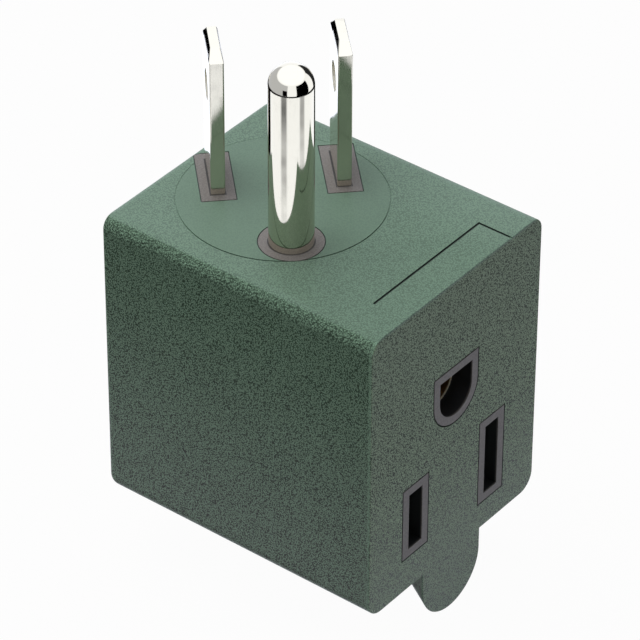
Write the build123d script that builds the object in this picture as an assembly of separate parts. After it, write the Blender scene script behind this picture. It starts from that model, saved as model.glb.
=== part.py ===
"""Right angle plug adapter: a grounded plug on top of a moulded body, with an outlet in its front.

All lengths are in millimetres. The origin is the centre of the round field on the plug face.
+Z runs out along the prongs, and -Y is the way the outlet faces. The plug is turned about Z, so
its pieces are built in a turned frame: local X runs from the line blade to the neutral blade, and
local Y runs from the ground pin to the blades.
"""

import math
import os

from build123d import *

# Body
FRONT_REACH = 21.9
SIDE_WALL = 3.65
BACK_WALL = 1.55
BOTTOM_WALL = 2.1
TOP_EDGE_RADIUS = 1.7
BOTTOM_EDGE_RADIUS = 2.0
BACK_EDGE_RADIUS = 1.0

# Finger tab under the outlet face
TAB_RADIUS = 4.8
TAB_DROP = 2.4
TAB_SLOPE = 1.15
TAB_ROOT = 1.0

# Fine lines moulded into the body
FIELD_LINE_WIDTH = 0.16
RULE_LINE_WIDTH = 0.22
LINE_DEPTH = 0.14
RULE_SETBACK = 4.0
RULE_LEFT = 8.45
RULE_RIGHT = 8.65
SEAM_WIDTH = 0.1
SEAM_DEPTH = 0.12

# Plug and outlet pattern, the same on both
BLADE_SPACING = 12.7
GROUND_OFFSET = 11.9

# Prongs
PLUG_TURN = -45.0
BLADE_SETBACK = 4.45
BLADE_THICKNESS = 1.48
BLADE_WIDTH = 6.35
BLADE_LENGTH = 16.7
BLADE_CORNER_RADIUS = 0.15
TIP_HEIGHT = 1.15
TIP_WIDTH = 3.75
TIP_THICKNESS = 0.95
BLADE_HOLE_DIAMETER = 3.2
BLADE_HOLE_HEIGHT = 11.2
PIN_RADIUS = 2.3
PIN_LENGTH = 20.7
PIN_SHANK_INSET = 0.2

# Core that holds the prongs, with a collar round each of them
COLLAR_MARGIN = 1.0
COLLAR_HEIGHT = 2.0
PLUG_CORE_THICKNESS = 4.5
KEY_HOLE_DIAMETER = 2.5
KEY_GROOVE_DEPTH = 0.4
KEY_GROOVE_HEIGHT = 1.2

# Prong tails
SHOULDER_CLEARANCE = 0.7
LINE_TAIL_WIDTH = 4.0
NEUTRAL_TAIL_WIDTH = 2.0
TAIL_END_MARGIN = 0.5
TAIL_TO_COVER_GAP = 0.12
PIN_STUB = 0.8
SPIGOT_RADIUS = 1.2
SPIGOT_HEAD_RADIUS = 1.9
SPIGOT_HEAD_HEIGHT = 0.6

# Outlet openings
GROUND_HOLE_RADIUS = 2.65
GROUND_HOLE_FLAT = 2.5
SLOT_WIDTH = 2.2
LINE_SLOT_HEIGHT = 6.9
NEUTRAL_SLOT_HEIGHT = 8.6
FRAME_MARGIN = 0.95

# Core and cover behind the outlet face
FRONT_SKIN = 1.6
CORE_FRONT_WALL = 0.8
SPIGOT_TO_CORE_GAP = 1.0
CHAMBER_END_ROOM = 1.2
CORE_SIDE_WALL = 1.8
CORE_TOP_WALL = 1.1
CORE_BOTTOM_WALL = 1.0
COVER_THICKNESS = 1.3
PIN_WELL_RADIUS = 2.7
PIN_WELL_DEPTH = 2.4
PIN_WELL_WALL = 1.0

# Spring contacts
SHEET_THICKNESS = 0.6
CONTACT_HEIGHT = 6.0
LEAF_SIDE_ROOM = 0.3
LEAF_TO_RIVET_GAP = 0.2
LEAF_STRAIGHT = 6.0
PINCH_GAP = 1.3
PINCH_SETBACK = 4.5
FLARE_SETBACK = 0.9
SLEEVE_INNER_RADIUS = 2.45
SLEEVE_WALL = 0.5
SLEEVE_LENGTH = 11.0
GROUND_CHAMBER_GAP = 0.25
GROUND_ARM_WIDTH = 4.0
GROUND_ARM_OVERLAP = 3.5
ARM_BITE = 0.25

# Straps from the contacts to the prong tails
STRAP_THICKNESS = 0.8
STRAP_HEIGHT = 5.0
STRAP_SIDE = 1.95
NEUTRAL_ARM_HEIGHT = 4.0
STRAP_TAIL_MARGIN = 0.4
GROUND_PAD_WIDTH = 4.4
GROUND_PAD_HEIGHT = 3.6
PAD_TO_WELL_GAP = 0.7
GROUND_LEG_WIDTH = 3.2
LEG_TO_WELL_GAP = 0.4
GROUND_SHELF_MARGIN = 2.1

# Rivets
RIVET_RADIUS = 0.6
RIVET_HEAD_RADIUS = 0.95
RIVET_HEAD_HEIGHT = 0.4

# Places that follow from the sizes above
TURN = math.radians(PLUG_TURN)
FRONT_Y = -FRONT_REACH
BLADE_X = BLADE_SPACING / 2
PIN_LOCAL_Y = BLADE_SETBACK - GROUND_OFFSET
PIN_X = -PIN_LOCAL_Y * math.sin(TURN)
PIN_Y = PIN_LOCAL_Y * math.cos(TURN)
FIELD_RADIUS = GROUND_OFFSET - BLADE_SETBACK + PIN_RADIUS + COLLAR_MARGIN
PLUG_CORE_BOTTOM_Z = -COLLAR_HEIGHT - PLUG_CORE_THICKNESS
KEY_Z = -COLLAR_HEIGHT - PLUG_CORE_THICKNESS / 2
SHELF_TOP_Z = PLUG_CORE_BOTTOM_Z - PIN_STUB
SHELF_BOTTOM_Z = SHELF_TOP_Z - STRAP_THICKNESS
SPIGOT_END_Z = SHELF_BOTTOM_Z - SPIGOT_HEAD_HEIGHT
SLEEVE_OUTER_RADIUS = SLEEVE_INNER_RADIUS + SLEEVE_WALL
GROUND_CHAMBER_RADIUS = SLEEVE_OUTER_RADIUS + GROUND_CHAMBER_GAP
CORE_TOP_Z = SPIGOT_END_Z - SPIGOT_TO_CORE_GAP
SHOULDER_Z = CORE_TOP_Z + SHOULDER_CLEARANCE
GROUND_HOLE_Z = CORE_TOP_Z - CORE_TOP_WALL - GROUND_CHAMBER_RADIUS
SLOT_Z = GROUND_HOLE_Z - GROUND_OFFSET
CORE_BOTTOM_Z = SLOT_Z - NEUTRAL_SLOT_HEIGHT / 2 - CHAMBER_END_ROOM - CORE_BOTTOM_WALL
LEAF_X = RIVET_HEAD_RADIUS + LEAF_TO_RIVET_GAP + SHEET_THICKNESS / 2
CHAMBER_HALF_WIDTH = LEAF_X + SHEET_THICKNESS / 2 + LEAF_SIDE_ROOM
CORE_HALF_WIDTH = BLADE_X + CHAMBER_HALF_WIDTH + CORE_SIDE_WALL
WELL_OUTER_RADIUS = PIN_WELL_RADIUS + PIN_WELL_WALL
HALF_WIDTH = CORE_HALF_WIDTH + SIDE_WALL
BACK_REACH = FIELD_RADIUS + BACK_WALL
BOTTOM_Z = CORE_BOTTOM_Z - BOTTOM_WALL
NEUTRAL_TAIL_RANGE = (BLADE_WIDTH / 2 - NEUTRAL_TAIL_WIDTH, BLADE_WIDTH / 2)
LINE_RIVET_U = 0.0
NEUTRAL_RIVET_U = sum(NEUTRAL_TAIL_RANGE) / 2
ARM_TOP_Z = GROUND_HOLE_Z - SLEEVE_OUTER_RADIUS + ARM_BITE
PAD_TOP_Z = GROUND_HOLE_Z - WELL_OUTER_RADIUS - PAD_TO_WELL_GAP
PAD_BOTTOM_Z = PAD_TOP_Z - GROUND_PAD_HEIGHT
GROUND_RIVET_Z = (PAD_TOP_Z + PAD_BOTTOM_Z) / 2
STRAP_BOTTOM_Z = SLOT_Z - STRAP_HEIGHT / 2
STRAP_TOP_Z = SLOT_Z + STRAP_HEIGHT / 2
NEUTRAL_ARM_TOP_Z = STRAP_TOP_Z + NEUTRAL_ARM_HEIGHT
LINE_RIVET_Z = SLOT_Z
NEUTRAL_RIVET_Z = (STRAP_TOP_Z + NEUTRAL_ARM_TOP_Z) / 2


def turned_point(x, y):
    """Turn a point in plan from the plug's local frame into the part's frame."""
    return (x * math.cos(TURN) - y * math.sin(TURN), x * math.sin(TURN) + y * math.cos(TURN))


def cover_back_y():
    """Return the back of the cover, which stays clear of the neutral tail and of its rivet."""
    outer_x = BLADE_X + BLADE_THICKNESS / 2
    tail_corner = turned_point(outer_x, BLADE_SETBACK + NEUTRAL_TAIL_RANGE[0])
    head_corner = turned_point(outer_x + RIVET_HEAD_HEIGHT,
                               BLADE_SETBACK + NEUTRAL_RIVET_U - RIVET_HEAD_RADIUS)
    return min(tail_corner[1], head_corner[1]) - TAIL_TO_COVER_GAP


CORE_FRONT_Y = FRONT_Y + FRONT_SKIN
CHAMBER_FRONT_Y = CORE_FRONT_Y + CORE_FRONT_WALL
COVER_BACK_Y = cover_back_y()
COVER_FRONT_Y = COVER_BACK_Y - COVER_THICKNESS
STRAP_BACK_Y = COVER_BACK_Y + STRAP_THICKNESS
STRAP_Y = COVER_BACK_Y + STRAP_THICKNESS / 2


def block(x_range, y_range, z_range):
    """Return a box that spans three pairs of coordinates."""
    sizes = [high - low for low, high in (x_range, y_range, z_range)]
    middle = [(high + low) / 2 for low, high in (x_range, y_range, z_range)]
    return Pos(*middle) * Box(*sizes)


def disc_z(radius, x, y, z_range):
    """Return a cylinder along Z."""
    low, high = z_range
    return Pos(x, y, (low + high) / 2) * Cylinder(radius, high - low)


def rod_y(radius, x, z, y_range):
    """Return a cylinder along Y."""
    low, high = y_range
    return Pos(x, (low + high) / 2, z) * Rot(90, 0, 0) * Cylinder(radius, high - low)


def rod_x(radius, y, z, x_range):
    """Return a cylinder along X."""
    low, high = x_range
    return Pos((low + high) / 2, y, z) * Rot(0, 90, 0) * Cylinder(radius, high - low)


def turned(shape):
    """Turn a shape from the plug's local frame into the part's frame."""
    return Rot(0, 0, PLUG_TURN) * shape


def plan_strip(points, thickness, z_range):
    """Return a sheet strip that stands on edge and follows a line of points in plan."""
    low, high = z_range
    strip = None
    for (x0, y0), (x1, y1) in zip(points, points[1:]):
        length = math.hypot(x1 - x0, y1 - y0)
        place = Pos((x0 + x1) / 2, (y0 + y1) / 2, (low + high) / 2)
        angle = math.degrees(math.atan2(y1 - y0, x1 - x0))
        run = place * Rot(0, 0, angle) * Box(length, thickness, high - low)
        strip = run if strip is None else strip + run
    for x, y in points[1:-1]:
        strip = strip + disc_z(thickness / 2, x, y, z_range)
    return strip


def slot_outline(x, height, margin, y_range):
    """Return the block of a slot's outline, grown by a margin."""
    half_width = SLOT_WIDTH / 2 + margin
    half_height = height / 2 + margin
    return block((x - half_width, x + half_width), y_range,
                 (SLOT_Z - half_height, SLOT_Z + half_height))


def ground_outline(margin, y_range):
    """Return the block of the ground hole's outline, round below and flat above, grown by a margin."""
    radius = GROUND_HOLE_RADIUS + margin
    low_half = rod_y(radius, 0, GROUND_HOLE_Z, y_range) & block(
        (-radius, radius), y_range, (GROUND_HOLE_Z - radius, GROUND_HOLE_Z))
    flat_half = block((-radius, radius), y_range,
                      (GROUND_HOLE_Z, GROUND_HOLE_Z + GROUND_HOLE_FLAT + margin))
    return low_half + flat_half


def outlet_outlines(margin, y_range):
    """Return the outlines of all three outlet openings, grown by a margin."""
    return (slot_outline(-BLADE_X, LINE_SLOT_HEIGHT, margin, y_range)
            + slot_outline(BLADE_X, NEUTRAL_SLOT_HEIGHT, margin, y_range)
            + ground_outline(margin, y_range))


def collar_outlines(margin, z_range):
    """Return the outlines of the three prongs in plan, grown by a margin."""
    half_thickness = BLADE_THICKNESS / 2 + margin
    half_width = BLADE_WIDTH / 2 + margin
    outlines = disc_z(PIN_RADIUS + margin, 0, PIN_LOCAL_Y, z_range)
    for x in (-BLADE_X, BLADE_X):
        outlines = outlines + block((x - half_thickness, x + half_thickness),
                                    (BLADE_SETBACK - half_width, BLADE_SETBACK + half_width),
                                    z_range)
    return turned(outlines)


def body_block():
    """Return the plain body with its rounded edges; the outlet face keeps a sharp outline."""
    body = block((-HALF_WIDTH, HALF_WIDTH), (FRONT_Y, BACK_REACH), (BOTTOM_Z, 0))
    long_edges = body.edges().filter_by(Axis.Y).sort_by(Axis.Z)
    body = fillet(long_edges[2:], TOP_EDGE_RADIUS)
    long_edges = body.edges().filter_by(Axis.Y).group_by(Axis.Z)[0]
    body = fillet(long_edges, BOTTOM_EDGE_RADIUS)
    back_face = body.faces().sort_by(Axis.Y)[-1]
    return fillet(back_face.edges(), BACK_EDGE_RADIUS)


def finger_tab():
    """Return the tab under the outlet face, which runs back and up into the body."""
    centre_z = BOTTOM_Z - TAB_DROP
    root_z = BOTTOM_Z + TAB_ROOT
    profile = make_face(
        Line((TAB_RADIUS, centre_z), (TAB_RADIUS, root_z))
        + Line((TAB_RADIUS, root_z), (-TAB_RADIUS, root_z))
        + Line((-TAB_RADIUS, root_z), (-TAB_RADIUS, centre_z))
        + ThreePointArc((-TAB_RADIUS, centre_z), (0, centre_z - TAB_RADIUS), (TAB_RADIUS, centre_z)))
    face = Pos(0, FRONT_Y, 0) * Rot(90, 0, 0) * profile
    reach = (TAB_DROP + TAB_RADIUS + TAB_ROOT) / TAB_SLOPE
    return extrude(face, amount=reach * math.hypot(1, TAB_SLOPE), dir=(0, 1, TAB_SLOPE))


def field_line():
    """Return the cutter of the fine circle round the prongs."""
    ring = (disc_z(FIELD_RADIUS + FIELD_LINE_WIDTH / 2, 0, 0, (-LINE_DEPTH, LINE_DEPTH))
            - disc_z(FIELD_RADIUS - FIELD_LINE_WIDTH / 2, 0, 0, (-LINE_DEPTH, LINE_DEPTH)))
    return ring


def rule_line():
    """Return the cutter of the fine rule that runs along the front of the plug face and turns off it."""
    rule_y = FRONT_Y + RULE_SETBACK
    path = [(-RULE_LEFT, rule_y), (RULE_RIGHT, rule_y), (RULE_RIGHT, FRONT_Y - RULE_LINE_WIDTH)]
    return plan_strip(path, RULE_LINE_WIDTH, (-LINE_DEPTH, LINE_DEPTH))


def blade(tail_range, tail_bottom_z, rivet_y, rivet_z):
    """Return one flat prong with its tail, at its own centre in the plug's local frame."""
    shank = Box(BLADE_THICKNESS, BLADE_WIDTH, BLADE_LENGTH - SHOULDER_Z)
    shank = fillet(shank.edges().filter_by(Axis.Z), BLADE_CORNER_RADIUS)
    shank = Pos(0, 0, (BLADE_LENGTH + SHOULDER_Z) / 2) * shank
    tip_base_z = BLADE_LENGTH - TIP_HEIGHT
    tip = loft([Pos(0, 0, tip_base_z) * Rectangle(BLADE_THICKNESS, BLADE_WIDTH),
                Pos(0, 0, BLADE_LENGTH) * Rectangle(TIP_THICKNESS, TIP_WIDTH)])
    half_thickness = BLADE_THICKNESS / 2
    half_width = BLADE_WIDTH / 2
    envelope = tip + block((-half_thickness, half_thickness), (-half_width, half_width),
                           (SHOULDER_Z, tip_base_z))
    tail = block((-half_thickness, half_thickness), tail_range, (tail_bottom_z, SHOULDER_Z))
    across = (-BLADE_THICKNESS, BLADE_THICKNESS)
    prong = (shank & envelope) + tail
    prong = prong - rod_x(BLADE_HOLE_DIAMETER / 2, 0, BLADE_HOLE_HEIGHT, across)
    prong = prong - rod_x(KEY_HOLE_DIAMETER / 2, 0, KEY_Z, across)
    return prong - rod_x(RIVET_RADIUS, rivet_y, rivet_z, across)


def line_blade():
    """Return the line blade, on the left of the plug."""
    half_tail = LINE_TAIL_WIDTH / 2
    prong = blade((-half_tail, half_tail), STRAP_BOTTOM_Z - TAIL_END_MARGIN,
                  LINE_RIVET_U, LINE_RIVET_Z)
    return turned(Pos(-BLADE_X, BLADE_SETBACK, 0) * prong)


def neutral_blade():
    """Return the neutral blade, on the right of the plug."""
    prong = blade(NEUTRAL_TAIL_RANGE, STRAP_TOP_Z - TAIL_END_MARGIN,
                  NEUTRAL_RIVET_U, NEUTRAL_RIVET_Z)
    return turned(Pos(BLADE_X, BLADE_SETBACK, 0) * prong)


def ground_pin():
    """Return the round ground pin, with a domed end, a thinner shank and a headed spigot.

    The pin's shoulder sits on its collar, and the spigot's head holds the ground strap.
    """
    dome_z = PIN_LENGTH - PIN_RADIUS
    pin = disc_z(PIN_RADIUS, 0, 0, (0, dome_z)) + Pos(0, 0, dome_z) * Sphere(PIN_RADIUS)
    shank_radius = PIN_RADIUS - PIN_SHANK_INSET
    pin = pin + disc_z(shank_radius, 0, 0, (SHELF_TOP_Z, 0))
    groove_range = (KEY_Z - KEY_GROOVE_HEIGHT / 2, KEY_Z + KEY_GROOVE_HEIGHT / 2)
    groove = (disc_z(PIN_RADIUS, 0, 0, groove_range)
              - disc_z(shank_radius - KEY_GROOVE_DEPTH, 0, 0, groove_range))
    spigot = disc_z(SPIGOT_RADIUS, 0, 0, (SPIGOT_END_Z, SHELF_TOP_Z))
    head = disc_z(SPIGOT_HEAD_RADIUS, 0, 0, (SPIGOT_END_Z, SHELF_BOTTOM_Z))
    return turned(Pos(0, PIN_LOCAL_Y, 0) * (pin - groove + spigot + head))


def plug_core(body, prongs):
    """Return the core that holds the prongs; its collars come out flush with the plug face."""
    plate = disc_z(FIELD_RADIUS, 0, 0, (PLUG_CORE_BOTTOM_Z, -COLLAR_HEIGHT))
    collars = collar_outlines(COLLAR_MARGIN, (-COLLAR_HEIGHT, 0))
    core = (plate + collars) & body
    for prong in prongs:
        core = core - prong
    return core


def outlet_core_blank():
    """Return the outlet core before its chambers and openings are cut."""
    core = block((-CORE_HALF_WIDTH, CORE_HALF_WIDTH), (CORE_FRONT_Y, COVER_FRONT_Y),
                 (CORE_BOTTOM_Z, CORE_TOP_Z))
    return core + outlet_outlines(FRAME_MARGIN, (FRONT_Y, CORE_FRONT_Y))


def blade_chamber(x, slot_height):
    """Return the room of one blade contact."""
    half_height = slot_height / 2 + CHAMBER_END_ROOM
    return block((x - CHAMBER_HALF_WIDTH, x + CHAMBER_HALF_WIDTH),
                 (CHAMBER_FRONT_Y, COVER_FRONT_Y), (SLOT_Z - half_height, SLOT_Z + half_height))


def ground_chamber():
    """Return the room of the ground contact: a round bore, and a corridor for its arm."""
    bore = rod_y(GROUND_CHAMBER_RADIUS, 0, GROUND_HOLE_Z, (CHAMBER_FRONT_Y, COVER_FRONT_Y))
    half_width = GROUND_ARM_WIDTH / 2 + GROUND_CHAMBER_GAP
    corridor_front_y = CHAMBER_FRONT_Y + SLEEVE_LENGTH - GROUND_ARM_OVERLAP - GROUND_CHAMBER_GAP
    corridor = block((-half_width, half_width), (corridor_front_y, COVER_FRONT_Y),
                     (PAD_BOTTOM_Z - GROUND_CHAMBER_GAP, GROUND_HOLE_Z))
    return bore + corridor


def outlet_core():
    """Return the moulded core that holds the contacts, with a frame round each outlet opening."""
    core = outlet_core_blank()
    core = core - blade_chamber(-BLADE_X, LINE_SLOT_HEIGHT)
    core = core - blade_chamber(BLADE_X, NEUTRAL_SLOT_HEIGHT)
    core = core - ground_chamber()
    return core - outlet_outlines(0, (FRONT_Y, CHAMBER_FRONT_Y))


def contact_rivet_places():
    """Return the x and z of the rivets that go through the contacts, the cover and the straps."""
    return [(-BLADE_X, SLOT_Z), (BLADE_X, SLOT_Z), (0, GROUND_RIVET_Z)]


def outlet_cover_blank():
    """Return the cover plate and the well for a long ground pin, before any holes."""
    plate = block((-CORE_HALF_WIDTH, CORE_HALF_WIDTH), (COVER_FRONT_Y, COVER_BACK_Y),
                  (CORE_BOTTOM_Z, CORE_TOP_Z))
    well_end_y = COVER_FRONT_Y + PIN_WELL_DEPTH + PIN_WELL_WALL
    return plate + rod_y(WELL_OUTER_RADIUS, 0, GROUND_HOLE_Z, (COVER_FRONT_Y, well_end_y))


def outlet_cover():
    """Return the cover that closes the chambers from behind."""
    cover = outlet_cover_blank()
    cover = cover - rod_y(PIN_WELL_RADIUS, 0, GROUND_HOLE_Z,
                          (COVER_FRONT_Y, COVER_FRONT_Y + PIN_WELL_DEPTH))
    for x, z in contact_rivet_places():
        cover = cover - rod_y(RIVET_RADIUS, x, z, (COVER_FRONT_Y, COVER_BACK_Y))
    return cover


def blade_contact(x):
    """Return one double-leaf spring contact, bent from a single strip round its web."""
    web_y = COVER_FRONT_Y - SHEET_THICKNESS / 2
    pinch_x = (PINCH_GAP + SHEET_THICKNESS) / 2
    right = [(LEAF_X, web_y), (LEAF_X, web_y - LEAF_STRAIGHT),
             (pinch_x, CHAMBER_FRONT_Y + PINCH_SETBACK),
             (LEAF_X, CHAMBER_FRONT_Y + FLARE_SETBACK)]
    left = [(-point_x, point_y) for point_x, point_y in reversed(right)]
    path = [(x + point_x, point_y) for point_x, point_y in left + right]
    strip = plan_strip(path, SHEET_THICKNESS,
                       (SLOT_Z - CONTACT_HEIGHT / 2, SLOT_Z + CONTACT_HEIGHT / 2))
    return strip - rod_y(RIVET_RADIUS, x, SLOT_Z, (COVER_FRONT_Y - SHEET_THICKNESS, COVER_FRONT_Y))


def ground_contact():
    """Return the round ground sleeve with the arm that is riveted to the cover."""
    sleeve_back_y = CHAMBER_FRONT_Y + SLEEVE_LENGTH
    sleeve_range = (CHAMBER_FRONT_Y, sleeve_back_y)
    half_width = GROUND_ARM_WIDTH / 2
    arm = block((-half_width, half_width), (sleeve_back_y - GROUND_ARM_OVERLAP, COVER_FRONT_Y),
                (ARM_TOP_Z - SHEET_THICKNESS, ARM_TOP_Z))
    web_range = (COVER_FRONT_Y - SHEET_THICKNESS, COVER_FRONT_Y)
    web = block((-half_width, half_width), web_range, (PAD_BOTTOM_Z, ARM_TOP_Z))
    contact = rod_y(SLEEVE_OUTER_RADIUS, 0, GROUND_HOLE_Z, sleeve_range) + arm + web
    contact = contact - rod_y(SLEEVE_INNER_RADIUS, 0, GROUND_HOLE_Z, sleeve_range)
    return contact - rod_y(RIVET_RADIUS, 0, GROUND_RIVET_Z, web_range)


def strap_plane_x(blade_x):
    """Return the local x of a strap's middle plane on the inner face of a blade's tail."""
    inwards = -math.copysign(1, blade_x)
    return blade_x + inwards * (BLADE_THICKNESS + STRAP_THICKNESS) / 2


def plan_meeting_x(blade_x):
    """Return the x where a strap's turned run meets its run along the cover."""
    return (strap_plane_x(blade_x) - STRAP_Y * math.sin(TURN)) / math.cos(TURN)


def tail_rivet_hole(blade_x, rivet_y, rivet_z):
    """Return the cutter of a tail rivet's hole through the strap and the tail."""
    return turned(rod_x(RIVET_RADIUS, BLADE_SETBACK + rivet_y, rivet_z,
                        (blade_x - BLADE_SPACING / 4, blade_x + BLADE_SPACING / 4)))


def line_strap():
    """Return the strap from the line contact to the inner face of the line blade's tail."""
    leg_x = -BLADE_X + STRAP_SIDE + STRAP_THICKNESS / 2
    plane_x = strap_plane_x(-BLADE_X)
    bend_y = (plane_x - leg_x * math.cos(TURN)) / math.sin(TURN)
    tail_end = turned_point(plane_x, BLADE_SETBACK + LINE_TAIL_WIDTH / 2 - STRAP_TAIL_MARGIN)
    path = [(-BLADE_X - STRAP_SIDE, STRAP_Y), (leg_x, STRAP_Y), (leg_x, bend_y), tail_end]
    strap = plan_strip(path, STRAP_THICKNESS, (STRAP_BOTTOM_Z, STRAP_TOP_Z))
    strap = strap - rod_y(RIVET_RADIUS, -BLADE_X, SLOT_Z, (COVER_BACK_Y, STRAP_BACK_Y))
    return strap - tail_rivet_hole(-BLADE_X, LINE_RIVET_U, LINE_RIVET_Z)


def neutral_strap():
    """Return the strap from the neutral contact, with an arm up to the neutral blade's tail."""
    base = block((BLADE_X - STRAP_SIDE, BLADE_X + STRAP_SIDE), (COVER_BACK_Y, STRAP_BACK_Y),
                 (STRAP_BOTTOM_Z, STRAP_TOP_Z))
    tail_end = turned_point(strap_plane_x(BLADE_X), BLADE_SETBACK + NEUTRAL_TAIL_RANGE[1])
    path = [(BLADE_X - STRAP_SIDE, STRAP_Y), (plan_meeting_x(BLADE_X), STRAP_Y), tail_end]
    arm = plan_strip(path, STRAP_THICKNESS, (STRAP_TOP_Z, NEUTRAL_ARM_TOP_Z))
    strap = base + arm - rod_y(RIVET_RADIUS, BLADE_X, SLOT_Z, (COVER_BACK_Y, STRAP_BACK_Y))
    return strap - tail_rivet_hole(BLADE_X, NEUTRAL_RIVET_U, NEUTRAL_RIVET_Z)


def ground_strap():
    """Return the strap from the ground contact up to the shelf that sits on the pin's spigot."""
    y_range = (COVER_BACK_Y, STRAP_BACK_Y)
    half_pad = GROUND_PAD_WIDTH / 2
    leg_right_x = -WELL_OUTER_RADIUS - LEG_TO_WELL_GAP
    leg_left_x = leg_right_x - GROUND_LEG_WIDTH
    pad = block((leg_left_x, half_pad), y_range, (PAD_BOTTOM_Z, PAD_TOP_Z))
    leg = block((leg_left_x, leg_right_x), y_range, (PAD_BOTTOM_Z, SHELF_TOP_Z))
    shelf_left_x = min(leg_left_x, PIN_X - GROUND_SHELF_MARGIN)
    shelf = block((shelf_left_x, PIN_X + GROUND_SHELF_MARGIN),
                  (PIN_Y - GROUND_SHELF_MARGIN, STRAP_BACK_Y), (SHELF_BOTTOM_Z, SHELF_TOP_Z))
    strap = pad + leg + shelf
    strap = strap - disc_z(SPIGOT_RADIUS, PIN_X, PIN_Y, (SHELF_BOTTOM_Z, SHELF_TOP_Z))
    return strap - rod_y(RIVET_RADIUS, 0, GROUND_RIVET_Z, y_range)


def contact_rivets():
    """Return the rivets that clamp each contact and its strap to the cover."""
    inner_y = COVER_FRONT_Y - SHEET_THICKNESS
    rivets = []
    for x, z in contact_rivet_places():
        rivet = rod_y(RIVET_RADIUS, x, z, (inner_y, STRAP_BACK_Y))
        rivet = rivet + rod_y(RIVET_HEAD_RADIUS, x, z, (inner_y - RIVET_HEAD_HEIGHT, inner_y))
        rivet = rivet + rod_y(RIVET_HEAD_RADIUS, x, z,
                              (STRAP_BACK_Y, STRAP_BACK_Y + RIVET_HEAD_HEIGHT))
        rivets.append(rivet)
    return rivets


def tail_rivet(blade_x, rivet_y, rivet_z):
    """Return the rivet that clamps one strap to its blade's tail."""
    inwards = -math.copysign(1, blade_x)
    outer_x = blade_x - inwards * BLADE_THICKNESS / 2
    inner_x = blade_x + inwards * (BLADE_THICKNESS / 2 + STRAP_THICKNESS)
    y = BLADE_SETBACK + rivet_y
    rivet = rod_x(RIVET_RADIUS, y, rivet_z, sorted((outer_x, inner_x)))
    rivet = rivet + rod_x(RIVET_HEAD_RADIUS, y, rivet_z,
                          sorted((outer_x, outer_x - inwards * RIVET_HEAD_HEIGHT)))
    rivet = rivet + rod_x(RIVET_HEAD_RADIUS, y, rivet_z,
                          sorted((inner_x, inner_x + inwards * RIVET_HEAD_HEIGHT)))
    return turned(rivet)


def tail_rivets():
    """Return both tail rivets."""
    return [tail_rivet(-BLADE_X, LINE_RIVET_U, LINE_RIVET_Z),
            tail_rivet(BLADE_X, NEUTRAL_RIVET_U, NEUTRAL_RIVET_Z)]


def housing(body, inner_shapes):
    """Return the body moulded round everything inside it, with its tab and its fine lines."""
    shell = body + finger_tab()
    for shape in inner_shapes:
        shell = shell - shape
    shell = shell - outlet_outlines(FRAME_MARGIN + SEAM_WIDTH, (FRONT_Y, FRONT_Y + SEAM_DEPTH))
    shell = shell - collar_outlines(COLLAR_MARGIN + SEAM_WIDTH, (-SEAM_DEPTH, 0))
    return shell - field_line() - rule_line()


def main():
    """Build every node and write one STEP file for each."""
    body = body_block()
    prongs = {"line_blade": line_blade(), "neutral_blade": neutral_blade(),
              "ground_pin": ground_pin()}
    nodes = dict(prongs)
    nodes["plug_core"] = plug_core(body, prongs.values())
    nodes["outlet_core"] = outlet_core()
    nodes["outlet_cover"] = outlet_cover()
    nodes["line_contact"] = blade_contact(-BLADE_X)
    nodes["neutral_contact"] = blade_contact(BLADE_X)
    nodes["ground_contact"] = ground_contact()
    nodes["line_strap"] = line_strap()
    nodes["neutral_strap"] = neutral_strap()
    nodes["ground_strap"] = ground_strap()
    contact_set = contact_rivets()
    tail_set = tail_rivets()
    nodes["contact_rivets"] = Compound(children=contact_set)
    nodes["tail_rivets"] = Compound(children=tail_set)
    held = [nodes[name] for name in ("line_blade", "neutral_blade", "ground_pin", "plug_core",
                                     "line_strap", "neutral_strap", "ground_strap")]
    held += [outlet_core_blank(), outlet_cover_blank()] + contact_set + tail_set
    nodes["housing"] = housing(body, held)
    os.makedirs("parts", exist_ok=True)
    for name, shape in nodes.items():
        export_step(shape, f"parts/{name}.step")


main()
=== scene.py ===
"""Right angle plug adapter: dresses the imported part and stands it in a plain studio.

The classes hold their sizes in millimetres, in the part's own frame. Shapes are modelled in those
millimetres and turned into metres when they are placed.
"""

import logging
import math
from collections.abc import Callable, Iterable
from dataclasses import dataclass, field
from enum import Enum

import bmesh
import bpy
from mathutils import Matrix, Vector


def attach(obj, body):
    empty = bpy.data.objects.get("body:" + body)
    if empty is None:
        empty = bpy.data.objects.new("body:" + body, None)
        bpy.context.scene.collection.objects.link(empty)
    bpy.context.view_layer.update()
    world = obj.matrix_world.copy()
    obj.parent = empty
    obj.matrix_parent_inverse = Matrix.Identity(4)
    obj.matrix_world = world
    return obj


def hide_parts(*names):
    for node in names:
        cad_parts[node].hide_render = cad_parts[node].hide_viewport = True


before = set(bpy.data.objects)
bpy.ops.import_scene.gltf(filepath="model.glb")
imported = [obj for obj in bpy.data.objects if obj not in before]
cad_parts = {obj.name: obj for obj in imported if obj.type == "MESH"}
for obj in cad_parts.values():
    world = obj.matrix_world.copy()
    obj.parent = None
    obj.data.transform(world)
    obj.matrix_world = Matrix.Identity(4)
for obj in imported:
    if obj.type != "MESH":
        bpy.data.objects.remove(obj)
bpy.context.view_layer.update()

LOG = logging.getLogger("adapter")
MM = 0.001
# Millimetres within which two places count as one.
TOUCH = 1e-4
# Millimetres past which an edge counts as long.
LONG = 1.0
# Millimetres by which a shape that cuts stands out of the surface.
CLEAR = 1.0
# Millimetres over which a painted strip fades.
STRIP_SOFTNESS = 0.02
# The sides of a round shape.
ROUND_SIDES = 96
WHITE = (1.0, 1.0, 1.0, 1.0)
Span = tuple[float, float]
Point = tuple[float, float, float]
Rgb = tuple[float, float, float]
Rgba = tuple[float, float, float, float]


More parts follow.
